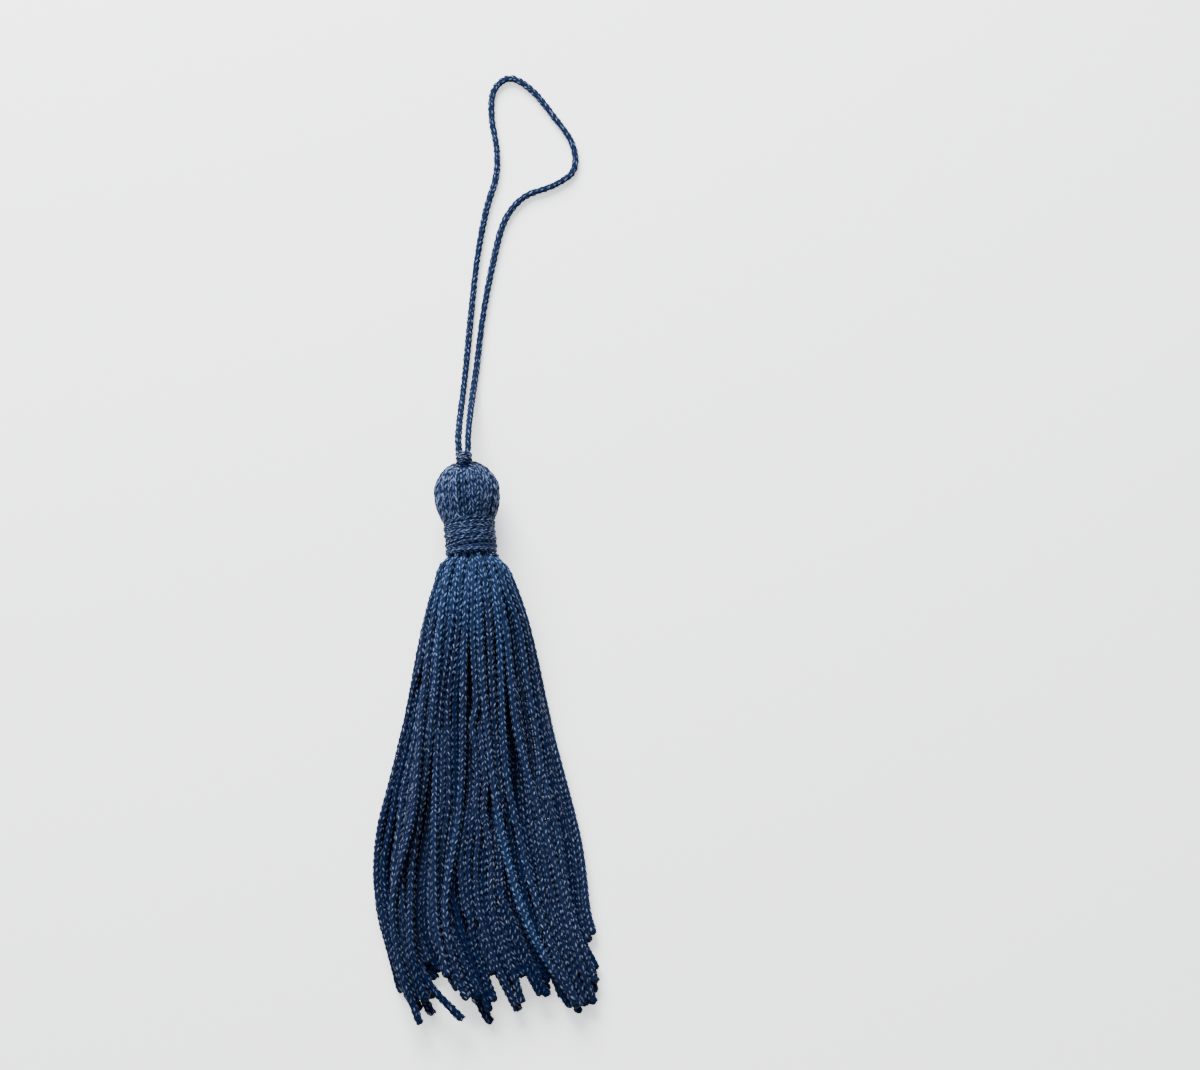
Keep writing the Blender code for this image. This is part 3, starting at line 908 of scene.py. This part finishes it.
# Handled, the strands sway a little, neighbours nearly together.
SWAYS = (
    # reach and length in mm, shift from edge to edge
    (0.45, 7.5, 9),
    (0.28, 4.1, 17),
)
# Low down they all sweep to the right.
SWEEP = 5.4 * MM
SWEEP_FROM = 47 * MM
SWEEP_OVER = 19 * MM
SWEEP_MOST = 1.4

# Where the cut ends reach, over the skirt's width: they hang in locks that come to points.
LOCK_ENDS = (
    # right, below
    (-17.5, 52.0),
    (-14.6, 56.8),
    (-11.8, 61.2),
    (-9.6, 64.2),
    (-7.6, 66.0),
    (-5.6, 62.6),
    (-3.6, 60.2),
    (-1.4, 62.2),
    (0.2, 64.6),
    (1.5, 66.2),
    (3.2, 64.0),
    (4.4, 61.4),
    (6.2, 64.6),
    (7.4, 61.2),
    (8.8, 61.0),
    (10.1, 64.0),
    (11.6, 61.6),
    (13.2, 63.4),
    (15.9, 65.4),
    (17.5, 61.5),
    (18.5, 57.5),
    (19.5, 53.0),
)
# Middles of the locks, where the ends lie.
LOCKS = (-11.0, -7.8, -2.6, 1.4, 6.1, 10.1, 14.8, 17.2)
LOCKS_AT = 62 * MM
LOCKS_FROM = 39 * MM
LOCKS_OVER = 24 * MM
# The strands that lie high at this place are drawn into the locks the most.
TOLD_AT = 45 * MM

# Strands that lie across their neighbours: how far each reaches if not as they do, how much
# lighter it is worn, and over which stretch.
STRAYS = (
    # below, right, reach, lighter, stretch
    (
        (2.5, 12, 22, 31, 39, 50, 56, 60, 64, 70),
        (0.6, 1.2, 2, 3, 4.1, 6.9, 9.3, 11.9, 15, 19),
        0,
        4.2,
        (34, 39, 51, 63),
    ),
    (
        (2.5, 12, 31, 39.5, 46.5, 51, 58, 64, 70),
        (-0.6, -1, -1.2, -1.6, -3.2, -4, -2.9, -0.4, 2),
        0,
        1.0,
        (36, 40, 52, 60),
    ),
    (
        (2.5, 15, 30, 45, 52, 57, 62.3, 67.5),
        (-2.6, -4.4, -7.2, -10.3, -9.8, -8.6, -6.3, 0.4),
        66.0,
        0.0,
        (0, 1, 2, 3),
    ),
    (
        (2.5, 9.3, 18.3, 30, 45, 58, 70),
        (-2.7, -4, -4.9, -6.2, -8.6, -8.6, -4),
        0,
        1.6,
        (5, 8, 22, 30),
    ),
    (
        (2.5, 12, 25, 35, 45, 55, 64, 70),
        (3.4, 5.2, 6.4, 9, 12.3, 14.5, 17.6, 20),
        0,
        0.4,
        (3, 8, 30, 60),
    ),
    (
        (2.5, 12, 25, 38, 50, 60, 70),
        (-4, -6, -7.2, -8, -11.6, -10, -6),
        0,
        0.0,
        (0, 1, 2, 3),
    ),
    (
        (2.5, 10, 20, 32, 44, 54, 62, 70),
        (2.2, 3.9, 4.4, 5, 7.8, 10.6, 14, 18),
        0,
        0.5,
        (8, 15, 40, 60),
    ),
    (
        (2.5, 10, 20, 32, 44, 54, 62, 70),
        (-1.8, -2.8, -4.5, -5.1, -5.2, -5, -3, 1),
        0,
        0.0,
        (0, 1, 2, 3),
    ),
)
# A stray is the strand that lies nearest to its line here, and high.
STRAYS_AT = 12 * MM


def row_at(places, below):
    """The number of the place that lies nearest to this distance below the binding."""
    return np.argmin(abs(places - below))


def growth(places, start, over, most=1):
    """How far something has grown at each place, from 0 where it starts."""
    return np.clip((places - start) / over, 0, most)


def finer(stations, lie):
    """The strands' middle lines at a finer, even step, lifted for their plumper yarn."""
    places = np.arange(stations[0], stations[-1], FINE_STEP)
    fine = np.empty((len(places), STRANDS, 2))
    for number in range(STRANDS):
        for axis in (0, 1):
            fine[:, number, axis] = np.interp(places, stations, lie[:, number, axis])
    fine[:, :, 1] += LIFT * growth(places, places[0], LIFT_OVER)[:, None]
    return places, fine


def draw_into_ridges(places, lines, uneven):
    """Draw the strands' lines into ridges and make them sway.

    Returns where each strand lies, from the skirt's left edge (0) to its right one (1), and
    how far that is from its ridge's crest.
    """
    edges = np.array([skirt_at(place)[:2] for place in places])
    left, right = edges[row_at(places, RIDGES_AT)]
    across = (lines[row_at(places, RIDGES_AT)] - left) / (right - left)
    crests = (np.arange(RIDGES + 1) + 0.5 + RIDGE_UNEVEN * uneven.uniform(-1, 1, RIDGES + 1)) / RIDGES
    crests = crests[np.argmin(abs(across[:, None] - crests), axis=1)]
    crest_lines = edges[:, :1] + (edges[:, 1:] - edges[:, :1]) * crests
    drawn = growth(places, 4 * MM, 10 * MM)[:, None]
    lines += RIDGE_PULL * drawn * (crest_lines - lines)
    below = places[:, None] / MM
    sway = sum(reach * np.sin(below / length + shift * across) for reach, length, shift in SWAYS)
    lines += sway * MM * drawn * growth(places[:, None], 8 * MM, 30 * MM)
    return across, abs(across - crests)


def sweep_aside(places, lines, across):
    """Sweep the low parts of the strands' lines to the right, the left ones the most."""
    swept = growth(places[:, None], SWEEP_FROM, SWEEP_OVER, SWEEP_MOST)
    swept = swept ** (1.2 + 0.4 * np.clip(across / 0.3, 0, 1))
    lines += SWEEP * swept * (1.0 + 0.6 * np.clip(0.5 - across, 0, 0.5) / 0.5)


def cut_end(places, line):
    """How far below the binding a strand on this line meets the row of cut ends."""
    tips = np.array(LOCK_ENDS).T * MM
    inside = places < np.interp(line, *tips)
    return places[np.flatnonzero(inside)[-1]] + 0.5 * FINE_STEP


def gather_locks(places, lines, heights, uneven):
    """Gather the strands' lines into locks and cut them. Returns how far each reaches."""
    ends = lines[row_at(places, LOCKS_AT)]
    middles = np.array(LOCKS) * MM
    nearest = middles[np.argmin(abs(ends[:, None] - middles), axis=1)]
    gathered = growth(places[:, None], LOCKS_FROM, LOCKS_OVER) ** 1.3
    upper = (heights - heights.min()) / np.ptp(heights)
    pull = 0.2 + 0.6 * upper * uneven.uniform(0.4, 1.0, STRANDS)
    lines += pull * gathered * (nearest - ends)
    # The lower strands are cut a little shorter.
    shorter = uneven.uniform(-0.5, 1.2, STRANDS) * MM
    shorter += (1 - upper) * uneven.uniform(0.0, 3.0, STRANDS) * MM
    return np.array([cut_end(places, line) for line in lines.T]) - shorter


def lay_over(number, line, places, fine, reach, room):
    """Move a strand to a line of its own, on top of the strands that lie there."""
    aside = abs(fine[:, :, 0] - line[:, None])
    over = fine[:, :, 1] + np.sqrt(np.clip(room**2 - aside**2, 0, None))
    over[(aside > room) | (places[:, None] > reach + 1 * MM)] = ON_FLOOR
    over[:, number] = ON_FLOOR
    fine[:, number, 0] = line
    lifted = growth(places, 4 * MM, 14 * MM)
    fine[:, number, 1] += lifted * (over.max(axis=1) - fine[:, number, 1])


# A strand counts as showing if it lies less deep than this in the mound, or has none over it.
SHOWING_DEPTH = 0.7 * MM
# How much the strands part, keep to their lines and straighten in a round, how much they
# come level, rise into a gap or close it, and how far they sag.
PARTING = 0.3
KEEPING = 0.06
STRAIGHTENING = 0.15
LEVELLING = 0.15
RISING = 0.12
CLOSING = 0.15
SAGGING = 0.006 * MM
COMBING_ROUNDS = 150
# Towards the ends the gaps between the locks stay: none fills below the first of these
# places, and none closes below the second or where it is wider than the rows say.
FILLED_ABOVE = 59 * MM
CLOSED_ABOVE = 62 * MM
WIDEST_CLOSED = (
    # below, gap
    (45, 2.2),
    (58, 0.9),
)


def level_uppermost(x, z, depth, held, present, room):
    """The uppermost strands settle level. Returns those that show, from left to right."""
    high = present & (depth < SHOWING_DEPTH)
    z += LEVELLING * depth * (high & ~held & (depth > -0.85 * MM))
    z += LEVELLING * held * np.clip(depth + 0.3 * MM, 0, 0.3 * MM)
    above = (z - z[:, None] > 0.35 * MM) & (abs(x - x[:, None]) < 0.6 * room)
    open_above = ~(above & present).any(axis=1)
    seen = np.flatnonzero(high | present & open_above)
    return seen[np.argsort(x[seen])]


def fill_gap(left, right, x, z, line, depth, hidden):
    """The hidden strand nearest to a wide gap moves to its middle and comes up into it."""
    middle = (x[left] + x[right]) / 2
    aside = abs(x - middle)
    under = hidden & (aside < (x[right] - x[left]) / 2 + 2.4 * MM)
    if under.any():
        riser = np.argmin(np.where(under, aside + 0.6 * depth, np.inf))
        z[riser] += RISING * (depth[riser] - 0.95 * MM)
        x[riser] += RISING * (middle - x[riser])
        line[riser] += RISING * (middle - line[riser])


def close_gaps(place, x, line, seen, open_gap, held):
    """The narrower gaps between the strands that show close. The outermost hardly move."""
    too_wide = np.interp(place, *np.array(WIDEST_CLOSED).T * MM)
    open_gap = np.where(open_gap > too_wide, 0.0, np.clip(open_gap, 0, None))
    shut = CLOSING * open_gap * np.clip((CLOSED_ABOVE - place) / (6 * MM), 0, 1)
    gives = np.where(held, 0.0, 1.0)
    gives[[*seen[:1], *seen[-1:]]] = 0.25
    for moved in (x, line):
        moved[seen[:-1]] += shut * gives[seen[:-1]]
        moved[seen[1:]] -= shut * gives[seen[1:]]


def settle(places, fine, lines, reach, held, room, bulge):
    """Let the combed strands part, come level and close up, round after round."""
    present = places[:, None] < reach + 1.5 * MM
    both = present[:, :, None] & present[:, None, :]
    start = fine[0].copy()
    for _ in range(COMBING_ROUNDS):
        apart = fine[:, :, None] - fine[:, None]
        distance = np.hypot(apart[..., 0], apart[..., 1])
        distance[:, range(STRANDS), range(STRANDS)] = 1.0
        short = np.clip(room[:, :, None] - distance, 0, None) * both
        push = (apart * (short / distance)[..., None]).sum(axis=2)
        push[:, held, 0] *= 0.1
        fine += PARTING * push
        fine[:, :, 0] += KEEPING * (lines - fine[:, :, 0])
        for row, place in enumerate(places):
            x, z = fine[row, :, 0], fine[row, :, 1]
            depth = reach_over(x, place)[1] - 0.35 * MM + bulge - z
            seen = level_uppermost(x, z, depth, held, present[row], room[row])
            hidden = present[row].copy()
            hidden[seen] = False
            # Where only one layer lies on the floor, the strands lie close together.
            lower = np.minimum(z[seen][:-1], z[seen][1:])
            snug = np.interp(lower, (1.0 * MM, 1.9 * MM), (0.90, 1.13)) * room[row]
            gap = np.diff(x[seen])
            wide = (gap > snug + 0.16 * MM) & (place < FILLED_ABOVE)
            for left, right in zip(seen[:-1][wide], seen[1:][wide]):
                fill_gap(left, right, x, z, lines[row], depth, hidden)
            close_gaps(place, x, lines[row], seen, gap - snug, held)
        fine[1:-1] += STRAIGHTENING * (fine[:-2] - 2 * fine[1:-1] + fine[2:])
        fine[:, :, 1] = np.maximum(fine[:, :, 1] - SAGGING, ON_FLOOR)
        fine[0] = start


def comb_out(stations, lie):
    """Draw the strands into locks, lay the strays over them and let them settle again."""
    uneven = np.random.default_rng(5)
    places, fine = finer(stations, lie)
    room = np.interp(places, *np.array(ROOM).T * MM)[:, None]
    lines = fine[:, :, 0].copy()
    across, off_crest = draw_into_ridges(places, lines, uneven)
    sweep_aside(places, lines, across)
    reach = gather_locks(places, lines, fine[row_at(places, TOLD_AT), :, 1], uneven)
    # Painted shade: strands down between the ridges are coloured darker.
    ridge_shade = 0.3 - 2.8 * RIDGES * off_crest

    held = np.zeros(STRANDS, bool)
    # How much lighter each strand is worn, and the four ends of the stretch.
    lighter = np.zeros((STRANDS, 5))
    row = row_at(places, STRAYS_AT)
    for below, right, stray_reach, light, stretch in STRAYS:
        line = np.interp(places, np.array(below) * MM, np.array(right) * MM)
        # A strand that has its line already is put out of the choice.
        choice = abs(lines[row] - line[row]) - 0.6 * fine[row, :, 1] + 1.0 * held
        number = int(np.argmin(choice))
        held[number] = True
        lighter[number] = (light, *stretch)
        ridge_shade[number] = 0.2
        lines[:, number] += growth(places, 4 * MM, 14 * MM) * (line - lines[:, number])
        reach[number] = stray_reach * MM or cut_end(places, line)
        lay_over(number, lines[:, number], places, fine, reach, room)

    bulge = (0.24 - 1.5 * RIDGES * off_crest) * MM
    bulge += 0.15 * MM * uneven.uniform(-1, 1, STRANDS)
    settle(places, fine, lines, reach, held, room, bulge)
    return places, fine, reach, ridge_shade, lighter


# Above the shoulder the yarns draw together and go up into the binding.
NECK_STEPS = (-1.5, -0.3, 0.3, 0.8, 1.5)
DRAWN_IN = 0.53
DRAWN_UP = 0.72
ROUTE_STEP = 1.3 * MM
# How wide a strand is, pressed at the neck and spread towards its end.
WIDTHS = (
    # below, width
    (-1.5, 0.60),
    (0.0, 0.76),
    (0.8, 0.86),
    (2.5, 0.94),
    (5.0, 1.0),
    (35.0, 1.0),
    (47.0, 1.08),
)


def strand_route(places, centres, reach, start):
    """One strand's points and widths, from inside the binding to its cut end."""
    points = []
    for place in (start, *NECK_STEPS):
        out = math.sin(math.pi / 2 * max(place, 0.0) / 2.5) ** 0.6
        x = centres[0, 0] * (DRAWN_IN + (1 - DRAWN_IN) * out)
        x -= math.tan(HEAD_LEAN) * max(-place, 0) * MM
        z = AXIS_HEIGHT + (centres[0, 1] - AXIS_HEIGHT) * (DRAWN_UP + (1 - DRAWN_UP) * out)
        points.append((x, -place * MM, z))
    for place, (x, z) in zip(places, centres):
        if place < reach - 1 * MM:
            points.append((x, -place, z))
    x, z = (np.interp(reach, places, centres[:, axis]) for axis in (0, 1))
    points.append((x, -reach, z))
    route = smooth_route(points, round(reach / ROUTE_STEP)) + np.array(home)
    below = (home.y - route[:, 1]) / MM
    widths = np.interp(below, *np.array(WIDTHS).T)
    return route, widths


strand_courses = [
    knit_course(f"strand_course_{seed}", STRAND_YARN, COURSE, LEG_LENGTH, LEG_WIDTH, slant, seed)
    for seed, slant in enumerate((LEG_SLANT, LEG_SLANT, LEG_SLANT, -LEG_SLANT, -LEG_SLANT))
]


def melted_tip(seed):
    """The uneven blob into which a cut end melts."""
    bpy.ops.object.select_all(action="DESELECT")
    bpy.ops.mesh.primitive_uv_sphere_add(
        segments=8,
        ring_count=6,
        radius=1.0,
        location=(0.1 * MM, 0.0, 0.0),
        rotation=(0.0, math.pi / 2, 0.0),
        scale=(0.50 * MM, 0.50 * MM, 0.62 * MM),
    )
    blob = bpy.context.object
    blob.name = f"melted_tip_{seed}"
    bpy.ops.object.transform_apply(location=True, rotation=True, scale=True)
    bpy.ops.object.mode_set(mode="EDIT")
    bpy.ops.transform.vertex_random(offset=0.13 * MM, uniform=0.3, seed=seed)
    bpy.ops.object.mode_set(mode="OBJECT")
    bpy.ops.object.shade_smooth()
    blob.data.uv_layers[0].name = "leg"
    corners = map_of(blob.data, "leg")
    blob.data.uv_layers.new(name="OFBake").data.foreach_set("uv", corners.ravel())
    blob.data.attributes.new("proud", "FLOAT", "POINT").data.foreach_set(
        "value", np.full(len(blob.data.vertices), 0.3)
    )
    blob.hide_render = True
    return blob


# Painted light and shade along the strands: lightest on the shoulder, where they leave the binding
# and the light falls, and darkened towards their ends by painted shade.
LIGHT_AND_SHADE_ALONG = (
    # below, tone
    (0, 4.4),
    (5, 4.0),
    (11, 1.4),
    (20, 0.0),
    (50, -0.3),
    (62, -1.5),
)
TONE_STEPS = 30
UNEVEN_TONE = 1.2
# A worn strand is also a little fuller.
WORN_FULLER = 0.035
# The strands are shared out among a few pieces, each with one of every few neighbours.
GROUPS = 4
SHARED_OUT_AT = 32.5 * MM


def worn_at(below, lighter):
    """How much lighter a strand is worn this far below the binding."""
    light, *stretch = lighter
    return light * np.interp(below, stretch, (0, 1, 1, 0))


melted_tips = [melted_tip(seed) for seed in (1, 2, 3)]
places, lie, reaches, ridge_shade, lighter = comb_out(*lay_strands())
order = np.argsort(lie[row_at(places, SHARED_OUT_AT), :, 0])
for group in range(GROUPS):
    strands = []
    members = order[group::GROUPS]
    for column, number in enumerate(members):
        start = -2.0 - chance.uniform(0, 1)
        below = np.linspace(start, reaches[number] / MM, TONE_STEPS)
        tone = ridge_shade[number] + UNEVEN_TONE * chance.uniform(-1, 1)
        tone = tone + np.interp(below, *np.array(LIGHT_AND_SHADE_ALONG).T) + worn_at(below, lighter[number])
        route, widths = strand_route(places, lie[:, number], reaches[number], start)
        widths = widths * (1.0 + 0.04 * chance.uniform(-1, 1, len(widths)))
        widths *= 1 + WORN_FULLER * worn_at((home.y - route[:, 1]) / MM, lighter[number])
        # The cut end flares.
        flare = chance.uniform(0.05, 0.35)
        widths[-3:] *= (1 + flare * 0.15, 1 + flare * 0.5, 1 + flare)
        strands.append(
            knit_along(
                f"strand_{number}",
                strand_courses[chance.integers(len(strand_courses))],
                COURSE * chance.uniform(0.94, 1.06),
                route,
                widths,
                tilt=chance.uniform(0, math.tau),
                tone=tone,
                tip=melted_tips[number % len(melted_tips)],
                spin=chance.uniform(-2.5, 2.5),
                share=(column, len(members)),
                drawn=chance.uniform(1, 7),
            )
        )
    skirt = join_pieces(f"skirt_{group + 1}", strands)
    skirt.data.materials.clear()
    skirt.data.materials.append(fringe_yarn)
    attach(skirt, "root")
    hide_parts("head_and_skirt")

for pattern in (full_course, knot_course, *head_courses, binding_course, *strand_courses):
    bpy.data.objects.remove(pattern, do_unlink=True)
for blob in melted_tips:
    bpy.data.objects.remove(blob, do_unlink=True)
